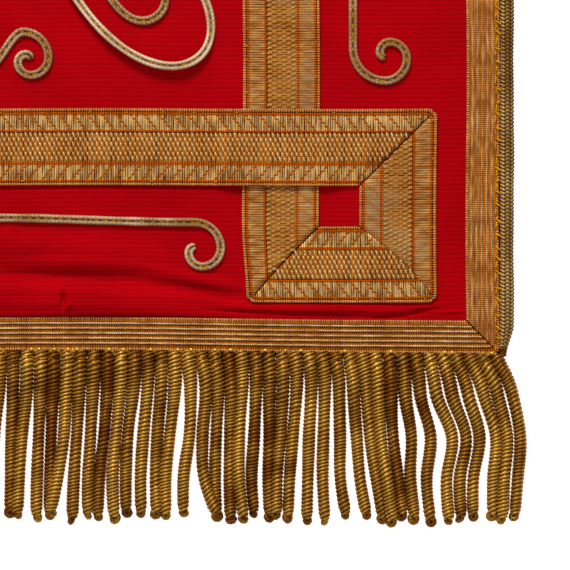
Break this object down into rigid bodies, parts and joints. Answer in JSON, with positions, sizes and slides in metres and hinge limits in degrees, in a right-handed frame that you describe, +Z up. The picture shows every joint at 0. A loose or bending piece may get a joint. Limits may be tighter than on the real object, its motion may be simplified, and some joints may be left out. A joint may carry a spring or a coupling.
{
  "type": "trumpet banner",
  "caption": "Square red cloth banner for a fanfare trumpet, edged with striped galloon, with a looped strap of gold lace, couched cord scrolls, side cords and a bullion fringe along its foot.",
  "frame": {"origin": "middle of the cloth's underside, on the surface that the banner lies on", "axes": "+X across the banner to the right, +Y towards its head, +Z up from the surface through the worked face"},
  "size_m": [0.4174, 0.4668, 0.0065],
  "materials": {
    "red_rep": "matt ribbed silk and wool rep, dyed red",
    "strap_lace": "satin gilt metal thread woven on orange silk",
    "border_lace": "satin gilt metal thread woven on orange silk, in stripes",
    "couched_cord": "satin braid of pale gilt thread",
    "edge_cord": "satin plait of gilt thread",
    "bullion": "shiny coiled gilt wire over thread, darkened between the turns"
  },
  "bodies": {
    "root": {"ground_cloth": "red_rep", "border_galloon": "border_lace", "strap_galloon": "strap_lace", "scroll_right": "couched_cord", "scroll_head": "couched_cord", "scroll_left": "couched_cord", "scroll_foot": "couched_cord", "field_scroll_right": "couched_cord", "field_scroll_head": "couched_cord", "field_scroll_left": "couched_cord", "field_scroll_foot": "couched_cord", "field_knot": "couched_cord", "field_ring": "couched_cord", "field_leaf_1": "couched_cord", "field_leaf_2": "couched_cord", "field_leaf_3": "couched_cord", "field_leaf_4": "couched_cord", "edge_cord_right": "edge_cord", "edge_cord_left": "edge_cord", "fringe": "bullion"}
  },
  "joints": []
}
